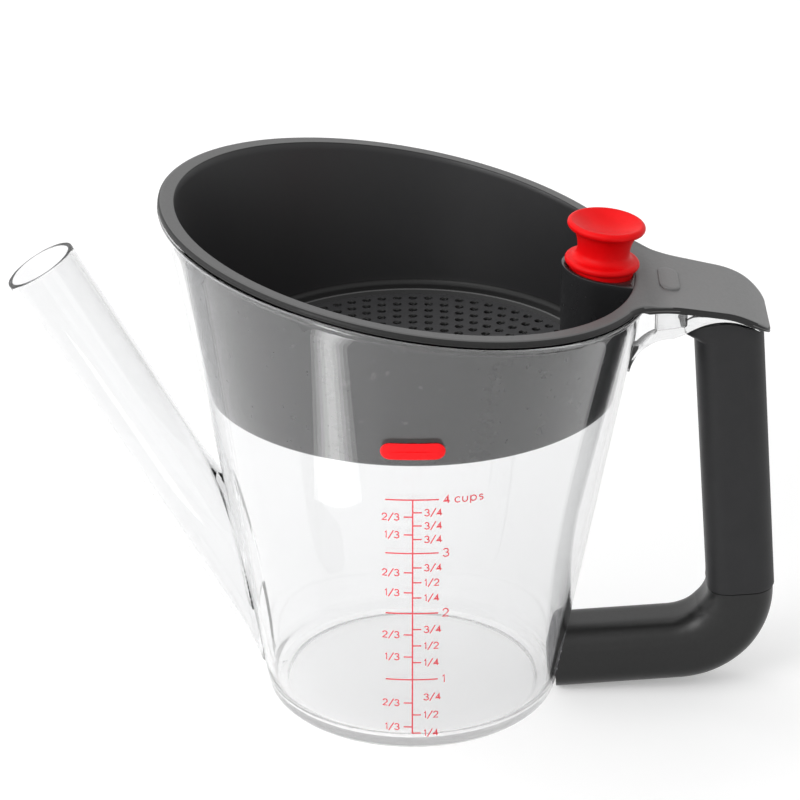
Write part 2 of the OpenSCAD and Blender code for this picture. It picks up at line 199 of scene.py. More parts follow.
def wall_r(z, inset=0.0):
    """Outer radius of the jug's wall at a height, less an inset measured level."""
    return BASE_R + WALL_SLOPE * z - inset


def on_rim(phi, lift, inset):
    """Where a cone inside the wall meets a plane above the jug's slanted edge: radius and height."""
    r = wall_r(RIM_H + lift, inset) / (1 + WALL_SLOPE * RIM_SLOPE * np.cos(phi))
    return r, RIM_H + lift - RIM_SLOPE * r * np.cos(phi)


FLANGE_TOP = SEAT_GAP + FLANGE_T
BASKET_OUT = JUG_WALL + BASKET_GAP
BASKET_IN = BASKET_OUT + BASKET_WALL
BASKET_LOW = RIM_H - BASKET_DEPTH
FLOOR_LOW = BASKET_LOW + BASKET_FOOT
FLOOR_TOP = FLOOR_LOW + BASKET_FLOOR
FLOOR_R = wall_r(FLOOR_LOW, BASKET_IN) - FIT_GAP
BORDER_IN = FLOOR_R - BORDER_W
BORDER_TOP = FLOOR_TOP + BORDER_RISE
RIM_REACH = on_rim(0, FLANGE_TOP, -FLANGE_OVER)[0]
TAB_REACH = RIM_REACH + TAB_LEN
BEND_REACH = RIM_REACH / math.cos(RIM_TILT) + TAB_STRAIGHT
BRACKET_DROP = TAB_T + SEAT_GAP
BRACKET_LOW = RIM_H - RIM_REACH * RIM_SLOPE - BRACKET_H
POCKET_X = on_rim(0, 0, -LIP_W)[0] + BRACKET_T / 2
SPOUT_REACH = wall_r(SPOUT_ROOT_H) + (SPOUT_H - SPOUT_ROOT_H) * math.tan(SPOUT_ANGLE)
SPOUT_LEN = (SPOUT_H - FOOT_H) / math.cos(SPOUT_ANGLE)
ELBOW_X = wall_r(ELBOW_Z) + ELBOW_OUT
POST_X = ELBOW_X + ELBOW_R * math.cos(HANDLE_TILT)
POST_Z = ELBOW_Z + ELBOW_R * math.sin(HANDLE_TILT)
POST_LEN = ((RIM_H + FLANGE_TOP - RIM_SLOPE * POST_X - POST_Z)
            / (math.cos(HANDLE_TILT) - RIM_SLOPE * math.sin(HANDLE_TILT)))
SLEEVE_LEN = POST_LEN - COLLAR_LEN
SOCKET_BORE = SOCKET_R - SOCKET_WALL
MOUTH_PLANE = RIM_H + FLANGE_TOP - SOCKET_DROP
SOCKET_X = on_rim(0, FLANGE_TOP - SOCKET_DROP, BASKET_IN + SOCKET_LAND + SOCKET_BORE)[0]
MOUTH_Z = MOUTH_PLANE - SOCKET_X * RIM_SLOPE
PLUG_R = SOCKET_BORE - PLUG_GAP
STOPPER_SEAT = SOCKET_R * math.tan(RIM_TILT - SOCKET_TILT) + STOPPER_GAP
SOCKET_IN = (MOUTH_Z - FLOOR_LOW) * math.tan(SOCKET_TILT)
SOCKET_FOOT_X = SOCKET_X - SOCKET_IN


# ---- Mesh tools ----

def add_object(name, data):
    obj = bpy.data.objects.new(name, data)
    bpy.context.scene.collection.objects.link(obj)
    return obj


def mesh_object(name, points, faces):
    """A mesh object from points in millimetres."""
    mesh = bpy.data.meshes.new(name)
    mesh.from_pydata([tuple(p) for p in np.asarray(points, float) * MM], [], faces)
    bm = bmesh.new()
    bm.from_mesh(mesh)
    bmesh.ops.remove_doubles(bm, verts=bm.verts, dist=1e-7)
    bmesh.ops.recalc_face_normals(bm, faces=bm.faces)
    bm.to_mesh(mesh)
    bm.free()
    return add_object(name, mesh)


def loft(name, rings, closed=False):
    """Joins rings of points, closed loops of the same count. Ends are capped, or joined if closed."""
    count = len(rings[0])
    points = np.concatenate(rings)
    faces = []
    for j in range(len(rings) if closed else len(rings) - 1):
        a, b = j * count, (j + 1) % len(rings) * count
        faces += [(a + i, a + (i + 1) % count, b + (i + 1) % count, b + i) for i in range(count)]
    if not closed:
        for j in (0, len(rings) - 1):
            centre = len(points)
            points = np.vstack([points, rings[j].mean(0)])
            faces += [(j * count + i, j * count + (i + 1) % count, centre) for i in range(count)]
    return mesh_object(name, points, faces)


def around(phi, r, z):
    """Points at angles round the Z axis."""
    z = np.broadcast_to(np.asarray(z, float), np.shape(phi))
    return np.stack([r * np.cos(phi), r * np.sin(phi), z], 1)


def arc(centre, r, start, end, steps):
    """Points of an arc, angles in degrees."""
    turn = np.radians(np.linspace(start, end, steps + 1))
    return np.array(centre) + r * np.stack([np.cos(turn), np.sin(turn)], 1)


def angles(count):
    return np.arange(count) * TURN / count


def applied(obj):
    """The object with its modifiers applied."""
    made = bpy.data.meshes.new_from_object(obj.evaluated_get(bpy.context.evaluated_depsgraph_get()))
    obj.modifiers.clear()
    obj.data = made
    return obj


def boolean(obj, tool, operation="DIFFERENCE"):
    """Adds a solid to obj or takes it away, and deletes the tool."""
    step = obj.modifiers.new("cut", "BOOLEAN")
    step.object, step.operation, step.solver = tool, operation, "EXACT"
    applied(obj)
    bpy.data.objects.remove(tool)


def bevelled(obj, width):
    """The object with its sharp edges rounded."""
    step = obj.modifiers.new("edges", "BEVEL")
    step.width, step.segments = width * MM, 3
    step.limit_method, step.angle_limit = "ANGLE", math.radians(30)
    return applied(obj)


def turned(points, angle):
    """Points turned about the Y axis, from +Z towards +X."""
    x, y, z = np.asarray(points, float).T
    return np.stack([x * math.cos(angle) + z * math.sin(angle), y,
                     z * math.cos(angle) - x * math.sin(angle)], 1)


def finish_piece(obj, body, materials, nodes=(), sharp_above=32):
    obj.data.polygons.foreach_set("use_smooth", [True] * len(obj.data.polygons))
    obj.data.set_sharp_from_angle(angle=math.radians(sharp_above))
    obj.data.materials.clear()
    for mat in materials:
        obj.data.materials.append(mat)
    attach(obj, body)
    if nodes:
        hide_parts(*nodes)


# ---- Materials ----

def material(name, colour, roughness, **sockets):
    """A Principled material. Other sockets are given by name, with _ for a space."""
    mat = bpy.data.materials.new(name)
    mat.use_nodes = True
    shader = mat.node_tree.nodes["Principled BSDF"]
    shader.inputs["Base Color"].default_value = (*colour, 1)
    shader.inputs["Roughness"].default_value = roughness
    for key, value in sockets.items():
        shader.inputs[key.replace("_", " ")].default_value = value
    return mat


def noise(mat, scale, detail=2.0, stretch=(1, 1, 1)):
    """Noise over the object's own coordinates, with the number of grains per metre."""
    nodes, links = mat.node_tree.nodes, mat.node_tree.links
    place = nodes.new("ShaderNodeTexCoord")
    mapping = nodes.new("ShaderNodeMapping")
    mapping.inputs["Scale"].default_value = stretch
    texture = nodes.new("ShaderNodeTexNoise")
    texture.inputs["Scale"].default_value = scale
    texture.inputs["Detail"].default_value = detail
    links.new(place.outputs["Object"], mapping.inputs["Vector"])
    links.new(mapping.outputs["Vector"], texture.inputs["Vector"])
    return texture.outputs["Fac"]


def vary(mat, value, socket, low, high):
    """Drives a shader socket from a texture, between two values."""
    spread = mat.node_tree.nodes.new("ShaderNodeMapRange")
    spread.inputs["To Min"].default_value = low
    spread.inputs["To Max"].default_value = high
    mat.node_tree.links.new(value, spread.inputs["Value"])
    mat.node_tree.links.new(spread.outputs["Result"],
                            mat.node_tree.nodes["Principled BSDF"].inputs[socket])


def along_x(mat, start, end, grain):
    """Goes from 0 to 1 between two places on X, in millimetres, with a little grain."""
    nodes, links = mat.node_tree.nodes, mat.node_tree.links
    split = nodes.new("ShaderNodeSeparateXYZ")
    spread = nodes.new("ShaderNodeMapRange")
    spread.interpolation_type = "SMOOTHSTEP"
    spread.inputs["From Min"].default_value = start * MM
    spread.inputs["From Max"].default_value = end * MM
    added = nodes.new("ShaderNodeMath")
    added.operation = "MULTIPLY_ADD"
    added.inputs[1].default_value = 0.12
    links.new(nodes.new("ShaderNodeTexCoord").outputs["Object"], split.inputs[0])
    links.new(split.outputs["X"], spread.inputs["Value"])
    links.new(grain, added.inputs[0])
    links.new(spread.outputs["Result"], added.inputs[2])
    return added.outputs[0]


def tint(mat, value, dark, light):
    """Colours the shader between two colours by a texture."""
    ramp = mat.node_tree.nodes.new("ShaderNodeValToRGB")
    ramp.color_ramp.elements[0].position, ramp.color_ramp.elements[1].position = 0.3, 0.7
    ramp.color_ramp.elements[0].color = (*dark, 1)
    ramp.color_ramp.elements[1].color = (*light, 1)
    mat.node_tree.links.new(value, ramp.inputs["Fac"])
    mat.node_tree.links.new(ramp.outputs["Color"],
                            mat.node_tree.nodes["Principled BSDF"].inputs["Base Color"])


def bump(mat, value, height):
    """Grain from a texture, with its height in millimetres."""
    step = mat.node_tree.nodes.new("ShaderNodeBump")
    step.inputs["Strength"].default_value = 1.0
    step.inputs["Distance"].default_value = height * MM
    mat.node_tree.links.new(value, step.inputs["Height"])
    mat.node_tree.links.new(step.outputs["Normal"],
                            mat.node_tree.nodes["Principled BSDF"].inputs["Normal"])


def clear_plastic():
    mat = material("clear_plastic", (0.9, 0.902, 0.905), 0.01, Transmission_Weight=1.0, IOR=1.5)
    vary(mat, noise(mat, 60), "Roughness", 0.0, 0.015)
    bump(mat, noise(mat, 25, 1.0), 0.004)
    return mat


def clear_base():
    mat = material("clear_base", (1.0, 1.0, 1.0), 0.5, Transmission_Weight=1.0, IOR=1.4)
    vary(mat, noise(mat, 60), "Roughness", 0.45, 0.6)
    bump(mat, noise(mat, 900, 1.0), 0.02)
    return mat


def opaque(name, colours, colour_grain, roughness, roughness_grain, relief=(), **sockets):
    """A material whose colour and roughness vary between two values. relief is a grain and its height."""
    dark, light = colours
    mat = material(name, [(a + b) / 2 for a, b in zip(dark, light)], sum(roughness) / 2, **sockets)
    tint(mat, noise(mat, colour_grain), dark, light)
    vary(mat, noise(mat, roughness_grain), "Roughness", *roughness)
    if relief:
        bump(mat, noise(mat, relief[0]), relief[1])
    return mat


def strainer_satin():
    """Satin of the rim and tab, painted lighter than the strainer's sides as painted light on faces turned
    up, and lighter still on the tab as a painted highlight.
    """
    rim, tab = 0.08, 0.142
    mat = material("strainer_satin", [rim] * 3, 0.45)
    # Painted highlight: the colour goes from the rim's to the lighter tab's along X.
    tint(mat, along_x(mat, 66, 92, noise(mat, 1800)), [rim] * 3, [tab] * 3)
    vary(mat, noise(mat, 900), "Roughness", 0.36, 0.5)
    bump(mat, noise(mat, 3500, 3.0), 0.02)
    return mat


def arm_end():
    """The arm's end face as it shows through the jug: light grey streaks on the black plastic, as a
    painted reflection where the arm meets the wall.
    """
    mat = material("arm_end", (0.2, 0.2, 0.21), 0.3)
    tint(mat, noise(mat, 250, 2.0, (1, 1, 0.3)), (0.12, 0.12, 0.13), (0.3, 0.3, 0.31))
    vary(mat, noise(mat, 400), "Roughness", 0.25, 0.35)
    return mat


CLEAR = clear_plastic()
CLEAR_BASE = clear_base()
ARM_END_PAINTED_REFLECTION = arm_end()
BLACK = opaque("black_plastic", [(0.005, 0.005, 0.005), (0.007, 0.007, 0.007)], 700,
               (0.31, 0.4), 900, (2500, 0.01), Specular_IOR_Level=0.42)
GRIP = opaque("soft_grip", [(0.0105, 0.0105, 0.0115), (0.0135, 0.0135, 0.0145)], 120,
              (0.5, 0.6), 1500, (4000, 0.015), Specular_IOR_Level=0.36)
# The strainer's plastic painted lighter on faces turned up, as painted light, with a painted highlight on
# the tab.
SATIN_PAINTED_HIGHLIGHT = strainer_satin()
# A dark copy of the strainer's plastic, for painted shade on faces turned aside or down, in the sunk
# border and in the holes.
STRAINER_PAINTED_SHADE = opaque("strainer_painted_shade", [(0.01, 0.01, 0.01), (0.014, 0.014, 0.014)], 900,
              (0.4, 0.5), 900, (2500, 0.01), Specular_IOR_Level=0.3)
# Lighter than the walls, as a painted highlight on the sieve's upward face.
SIEVE_PAINTED_HIGHLIGHT = opaque("strainer_sieve", [(0.044, 0.044, 0.046), (0.056, 0.056, 0.058)], 1200,
               (0.34, 0.46), 700, (2500, 0.01))
POLISHED = opaque("strainer_polished", [(0.0193, 0.0193, 0.0203), (0.0207, 0.0207, 0.0217)], 500,
                  (0.26, 0.28), 300, (400, 0.001), Specular_IOR_Level=0.62)
INSIDE = opaque("strainer_inside", [(0.0135, 0.0135, 0.0145), (0.0145, 0.0145, 0.0155)], 500,
                (0.39, 0.45), 300, (900, 0.002))
RED = opaque("red_silicone", [(0.74, 0.0015, 0.003), (0.8, 0.003, 0.005)], 200,
             (0.38, 0.5), 600, (1500, 0.01), Specular_IOR_Level=0.12)
PRINT = opaque("red_print", [(0.72, 0.04, 0.06), (0.8, 0.06, 0.08)], 1500, (0.3, 0.45), 800)
BADGE = opaque("red_badge", [(0.86, 0.006, 0.01), (0.94, 0.01, 0.014)], 1500,
               (0.3, 0.45), 800, Specular_IOR_Level=0.15)


# ---- Clear jug: one moulding ----

def jug_body():
    """Wall, foot, floor and the bead under the slanted edge."""
    phi = angles(JUG_STEPS)
    corner_x = wall_r(CORNER_R) - CORNER_R / math.cos(WALL_TILT)
    ring_in = BASE_R - CORNER_R - FOOT_RING
    rings = [around(phi, r, z) for r, z in [(ring_in - 8, FOOT_RING_H), (ring_in - 0.4, FOOT_RING_H),
                                            (ring_in + 0.2, 0.86), (ring_in + 0.8, 0.5),
                                            (ring_in + 1.4, 0.14), (ring_in + 2, 0)]]
    corner = arc((corner_x, CORNER_R), CORNER_R, -90, -WALL_TILT_DEG, 10)
    rings += [around(phi, r, z) for r, z in corner]
    start = corner[-1][1]
    below_z = on_rim(phi, -LIP_H - 1.5, 0)[1]
    for share in np.linspace(0, 1, 50)[1:]:
        z = start + (below_z - start) * share
        rings.append(around(phi, wall_r(z), z))
    for lift, inset in [(-LIP_H - 0.5, -0.15), (-LIP_H, -0.6), (-LIP_H + 0.3, -LIP_W + 0.3),
                        (-LIP_H + 0.8, -LIP_W), (-LIP_ROUND, -LIP_W), (-0.15, -LIP_W + 0.15),
                        (0, -LIP_W + LIP_ROUND), (0, JUG_WALL - LIP_ROUND),
                        (-0.15, JUG_WALL - 0.15), (-LIP_ROUND, JUG_WALL)]:
        rings.append(around(phi, *on_rim(phi, lift, inset)))
    inner_round = 5.5
    inner_corner = wall_r(JUG_FLOOR + inner_round, JUG_WALL) - inner_round / math.cos(WALL_TILT)
    corner = arc((inner_corner, JUG_FLOOR + inner_round), inner_round, -WALL_TILT_DEG, -90, 10)
    top_z = on_rim(phi, -LIP_ROUND, JUG_WALL)[1]
    for share in np.linspace(0, 1, 50)[1:-1]:
        z = top_z + (corner[0][1] - top_z) * share
        rings.append(around(phi, wall_r(z, JUG_WALL), z))
    rings += [around(phi, r, z) for r, z in corner]
    rings.append(around(phi, inner_corner / 2, JUG_FLOOR))
    return loft("jug", rings)


def cone_solid(inset, low, top):
    """A solid whose side lies inside the wall's outer face."""
    phi = angles(JUG_STEPS)
    return loft("cone", [around(phi, wall_r(z, inset), z) for z in np.linspace(low, top, 30)])


def along_spout(points):
    """Points of the spout's own frame, whose +Z runs out of the mouth."""
    return turned(points, -SPOUT_ANGLE) + [-SPOUT_REACH, 0, SPOUT_H]


def spout_ring(phi, s, wall=0.0):
    """A ring of the spout at a distance from its mouth, negative towards its foot."""
    share = (s + SPOUT_LEN) / SPOUT_LEN
    r = SPOUT_FOOT_R + (SPOUT_MOUTH_R - SPOUT_FOOT_R) * share - wall
    return along_spout(around(phi, r, s))


def filleted(ring):
    """Widens a ring of the spout close to the wall and draws it towards the wall, as a fillet does."""
    level = np.hypot(ring[:, 0], ring[:, 1])
    near = np.clip(1 - np.abs(level - wall_r(ring[:, 2])) / FILLET_REACH, 0, 1)[:, None] ** 2
    out = ring - ring.mean(0)
    out /= np.linalg.norm(out, axis=1)[:, None]
    away = ring * [1, 1, 0] / level[:, None]
    facing = np.clip(-np.sum(out * away, 1), 0, 1)[:, None]
    return ring + out * FILLET_OUT * near ** 2 - away * FILLET_WEB * facing * near


def spout_outside():
    phi = angles(TUBE_STEPS)
    rings = [filleted(spout_ring(phi, s)) for s in np.linspace(-SPOUT_LEN, -0.9, 150)]
    rings += [spout_ring(phi, s, wall) for s, wall in [(-0.3, 0.04), (-0.1, 0.14), (0, 0.34)]]
    spout = loft("spout", rings)
    boolean(spout, cone_solid(JUG_WALL / 2, 2, 200))
    return spout


def spout_bore():
    phi = angles(TUBE_STEPS)
    rings = [spout_ring(phi, s, SPOUT_WALL) for s in np.linspace(-SPOUT_LEN, -0.9, 100)]
    rings += [spout_ring(phi, s, wall) for s, wall in [(-0.3, 1.46), (-0.1, 1.36), (0, 1.16), (0.6, 0.6)]]
    bore = loft("bore", rings)
    boolean(bore, cone_solid(0, WINDOW_H, 200))
    return bore


def tab_top(x, drop=0.0):
    """Height of the tab's top at a distance from the centre line, or of a surface below it."""
    x = np.asarray(x, float)
    along = x / math.cos(RIM_TILT)
    for _ in range(20):
        ahead = np.clip(along - BEND_REACH, 0, TAB_BEND_R - drop - 1)
        up = np.sqrt((TAB_BEND_R - drop) ** 2 - ahead ** 2) - TAB_BEND_R
        along = (x - up * math.sin(RIM_TILT)) / math.cos(RIM_TILT)
    return RIM_H + FLANGE_TOP - TAB_SINK + up * math.cos(RIM_TILT) - along * math.sin(RIM_TILT)


def collar_roof(x):
    """Height of the handle's slightly arched top, below the clear plate."""
    middle = ELBOW_X + COLLAR_PEAK
    top = RIM_H + FLANGE_TOP - COLLAR_DROP + COLLAR_ARCH - RIM_SLOPE * middle
    return top - COLLAR_CURVE * (np.asarray(x) - middle) ** 2


def plate(name, outline, half):
    """A solid between -half and half in Y, from an outline of (x, z) points."""
    outline = np.asarray(outline, float)
    sides = [np.insert(outline, 1, y, axis=1) for y in (-half, half)]
    count = len(outline)
    faces = [(i, (i + 1) % count, count + (i + 1) % count, count + i) for i in range(count)]
    faces += [tuple(range(count)), tuple(range(count, 2 * count))]
    return mesh_object(name, np.concatenate(sides), faces)


def bracket():
    """The bridge from the rim to the handle's top, with a pocket that is open upwards."""
    end_x = ELBOW_X - COLLAR_LIP
    reach = ELBOW_X + BRACKET_OVER
    plate_low, end_low = BRACKET_LOW - BRIDGE_SAG, BRACKET_LOW - BRIDGE_END_SAG
    fillet_z = plate_low - BRACKET_FILLET
    fillet_x = wall_r(fillet_z) + BRACKET_FILLET / math.cos(WALL_TILT)
    inside_x = wall_r(plate_low) - JUG_WALL / 2
    top = [(x, tab_top(x, BRACKET_DROP)) for x in np.linspace(inside_x, reach, 40)]
    under = [(x, collar_roof(x) + FIT_GAP) for x in np.linspace(reach, end_x, 16)]
    fillet = arc((fillet_x, fillet_z), BRACKET_FILLET, 90, 180 - WALL_TILT_DEG, 20)
    low = [fillet[-1] - [JUG_WALL / 2, 0]]
    outline = np.array([*top, *under, (end_x, end_low), *fillet, *low])
    solid = bevelled(plate("bracket", outline, BRACKET_HALF), 0.6)
    pocket_end = end_x + 0.6
    pocket = plate("pocket", [(POCKET_X, plate_low + BRIDGE_T), (pocket_end, end_low + BRIDGE_T),
                              (pocket_end, RIM_H), (POCKET_X, RIM_H)], BRACKET_HALF - BRACKET_T)
    boolean(solid, bevelled(pocket, 0.8))
    boolean(solid, cone_solid(JUG_WALL / 2, 2, 200))
    return solid


def clear_jug():
    jug = jug_body()
    boolean(jug, spout_outside(), "UNION")
    boolean(jug, bracket(), "UNION")
    boolean(jug, spout_bore())
    jug.visible_shadow = jug.visible_diffuse = False
    finish_piece(jug, "jug", [CLEAR, CLEAR_BASE],
                 ["jug_wall", "jug_foot", "rim_bead", "spout_tube", "handle_bracket"])
    # The underside and the spout's lip are matt
    mouth, ahead = along_spout([(0, 0, 0), (0, 0, 1)])
    for face in jug.data.polygons:
        from_mouth = np.array(face.center) / MM - mouth
        on_lip = from_mouth @ (ahead - mouth) > -0.35 and np.linalg.norm(from_mouth) < SPOUT_MOUTH_R + 2
        if face.center.z < 1.2 * MM or on_lip:
            face.material_index = 1


# ---- Handle ----

def grip_ring(shrink=0.0):
    """The handle's section: a rounded rectangle in X and Y, centred."""
    half_x, half_y = GRIP_W / 2 - shrink, GRIP_D / 2 - shrink
    r = GRIP_ROUND - shrink
    corners = [(half_x - r, half_y - r), (r - half_x, half_y - r), (r - half_x, r - half_y),
               (half_x - r, r - half_y)]
    points = np.concatenate([arc(c, r, 90 * i, 90 * i + 90, 10) for i, c in enumerate(corners)])
    # Points along the flats keep the faces even
    dense = []
    for a, b in zip(points, np.roll(points, -1, 0)):
        steps = max(1, int(np.linalg.norm(b - a) / 1.5))
        dense += [a + (b - a) * k / steps for k in range(steps)]
    return np.array(dense)


def corner_cut(r, extra, turn, along):
    """How far a bend that is rounder by extra lies inside one of radius r."""
    if along > 0:
        return r + extra - math.sqrt((r + extra) ** 2 - max(extra - along, 0) ** 2)
    both = extra * (math.cos(turn) + math.sin(turn))
    return r + both - math.sqrt(both ** 2 - 2 * extra ** 2 + (r + extra) ** 2)


def elbow_section(shrink, turn=0.0, along=0.0):
    """The handle's section at the elbow, whose inner and outer bends are rounder than its middle line."""
    section = grip_ring(shrink)
    x, half = section[:, 0], GRIP_W / 2
    inner = corner_cut(ELBOW_R - half, ELBOW_INNER, turn, along)
    outer = corner_cut(ELBOW_R + half, ELBOW_OUTER, turn, along)
    section[:, 0] = x - np.where(x < 0, inner, outer) * (x / half) ** 2
    return section


def in_handle(points):
    """Points of the handle's own frame, whose +Z runs up the post."""
    return turned(points, -HANDLE_TILT) + [ELBOW_X, 0, ELBOW_Z]


def post_ring(w, shrink=0.0):
    section = elbow_section(shrink, along=w)
    return in_handle(np.insert(section, 2, w, axis=1) + [ELBOW_R, 0, 0])


def elbow_ring(turn, shrink=0.0):
    """A section of the elbow, from 0 at the post to a quarter turn at the arm."""
    section = elbow_section(shrink, turn=turn)
    r = ELBOW_R + section[:, 0]
    return in_handle(np.stack([r * math.cos(turn), section[:, 1], -r * math.sin(turn)], 1))


def arm_ring(back):
    section = elbow_section(0, along=back)
    flat = np.full(len(section), -back)
    return in_handle(np.stack([flat, section[:, 1], -ELBOW_R - section[:, 0]], 1))


def handle_arm():
    """Hard arm and elbow, cut to the wall, with a narrow step under the sleeve."""
    rings = [post_ring(SEAM, 2.5), post_ring(SEAM, SEAM_STEP + 0.3), post_ring(SEAM - 0.3, SEAM_STEP),
             post_ring(0.2, SEAM_STEP)]
    rings += [elbow_ring(a, SEAM_STEP * (1 - min(1, a * 1.3))) for a in np.linspace(0.02, math.pi / 2, 40)]
    rings += [arm_ring(b) for b in np.linspace(0.5, ELBOW_X - BASE_R + JUG_WALL, 50)]
    arm = loft("handle_arm_shell", rings)
    boolean(arm, cone_solid(ARM_SEAT, -5, 60))
    finish_piece(arm, "jug", [BLACK, ARM_END_PAINTED_REFLECTION], ["handle_arm"])
    # The faces against the wall get light grey streaks painted as reflection.
    for face in arm.data.polygons:
        x, y, z = face.center / MM
        if math.hypot(x, y) < wall_r(z, ARM_SEAT / 2):
            face.material_index = 1


def grip_sleeve():
    """The soft sleeve, with a rounded lower edge."""
    rings = [post_ring(SEAM + up, shrink)
             for up, shrink in [(0.1, 2.0), (0.1, 0.6), (0.25, 0.2), (0.7, 0.0)]]
    rings += [post_ring(w) for w in np.linspace(SEAM + 2, SLEEVE_LEN, 40)]
    sleeve = loft("soft_sleeve", rings)
    finish_piece(sleeve, "jug", [GRIP], ["grip_sleeve", "handle_core"])


def grip_collar():
    """The handle's top, which runs up under the bracket and has a pointed lip towards the jug."""
    section = grip_ring()
    lip_start = POST_LEN - COLLAR_LIP_DROP
    rings = []
    for w in np.linspace(SLEEVE_LEN, POST_LEN + 4, 60):
        lip = COLLAR_POINT * np.clip((w - lip_start) / COLLAR_LIP_RISE, 0, 1)
        towards_jug = np.clip(-section[:, 0] / (GRIP_W / 2), 0, 1) ** 2
        place = np.insert(section, 2, w, axis=1) + [ELBOW_R, 0, 0]
        place[:, 0] -= lip * towards_jug
        rings.append(in_handle(place))
    collar = loft("handle_top", rings)
    roof = [(x, collar_roof(x)) for x in np.linspace(ELBOW_X - 20, ELBOW_X + 40, 40)]
    sky = plate("sky", [*roof, (ELBOW_X + 40, RIM_H + 30), (ELBOW_X - 20, RIM_H + 30)], 30)
    boolean(collar, sky)
    finish_piece(collar, "jug", [GRIP], ["grip_collar"])


# ---- Strainer ----

def tab_half_outline():
    """The tab's outline on the +Y side, from the middle of its end to where it joins the rim."""
    taper = math.atan((TAB_ROOT_HALF - TAB_END_HALF) / TAB_LEN)
    along = np.array([math.cos(taper), -math.sin(taper)])
    out = np.array([math.sin(taper), math.cos(taper)])
    root = np.array([RIM_REACH, TAB_ROOT_HALF]) + TAB_BLEND * out
    ahead = root @ along
    back = math.sqrt(ahead ** 2 - root @ root + (RIM_REACH + TAB_BLEND) ** 2) - ahead
    blend_at = root + back * along
    corner_x = TAB_REACH - TAB_CORNER
    corner_y = TAB_ROOT_HALF - (corner_x - RIM_REACH) * math.tan(taper) - TAB_CORNER / math.cos(taper)
    taper_deg = math.degrees(taper)
    corner = arc((corner_x, corner_y), TAB_CORNER, 0, 90 - taper_deg, 14)
    towards_rim = 180 + math.degrees(math.atan2(blend_at[1], blend_at[0]))
    blend = arc(blend_at, TAB_BLEND, 270 - taper_deg, towards_rim, 20)
    end = [(TAB_REACH, y) for y in np.linspace(0, corner_y, 8)[:-1]]
    side = [corner[-1] + (blend[0] - corner[-1]) * t for t in np.linspace(0, 1, 16)[1:-1]]
    return np.array([*end, *corner, *side, *blend])


def rim_outline():
    """The strainer's rim and tab from above, as angles and radii round the centre line."""
    half = tab_half_outline()
    phi, r = np.arctan2(half[:, 1], half[:, 0]), np.hypot(half[:, 0], half[:, 1])
    round_phi = np.linspace(phi[-1], math.pi, 150)[1:]
    round_r = on_rim(round_phi, FLANGE_TOP, -FLANGE_OVER)[0]
    r[-1] = on_rim(phi[-1], FLANGE_TOP, -FLANGE_OVER)[0]
    phi, r = np.concatenate([phi, round_phi]), np.concatenate([r, round_r])
    return np.concatenate([phi, TURN - phi[-2:0:-1]]), np.concatenate([r, r[-2:0:-1]])


def soft_step(share):
    """Goes smoothly from 0 to 1."""
    share = np.clip(share, 0, 1)
    return share * share * (3 - 2 * share)


def border_corner():
    """The hollow corner between the border round the holes and the wall's inside."""
    z = BORDER_TOP + BORDER_ROUND
    x = wall_r(z, BASKET_IN) - BORDER_ROUND / math.cos(WALL_TILT)
    return arc((x, z), BORDER_ROUND, -90, -WALL_TILT_DEG, 8)


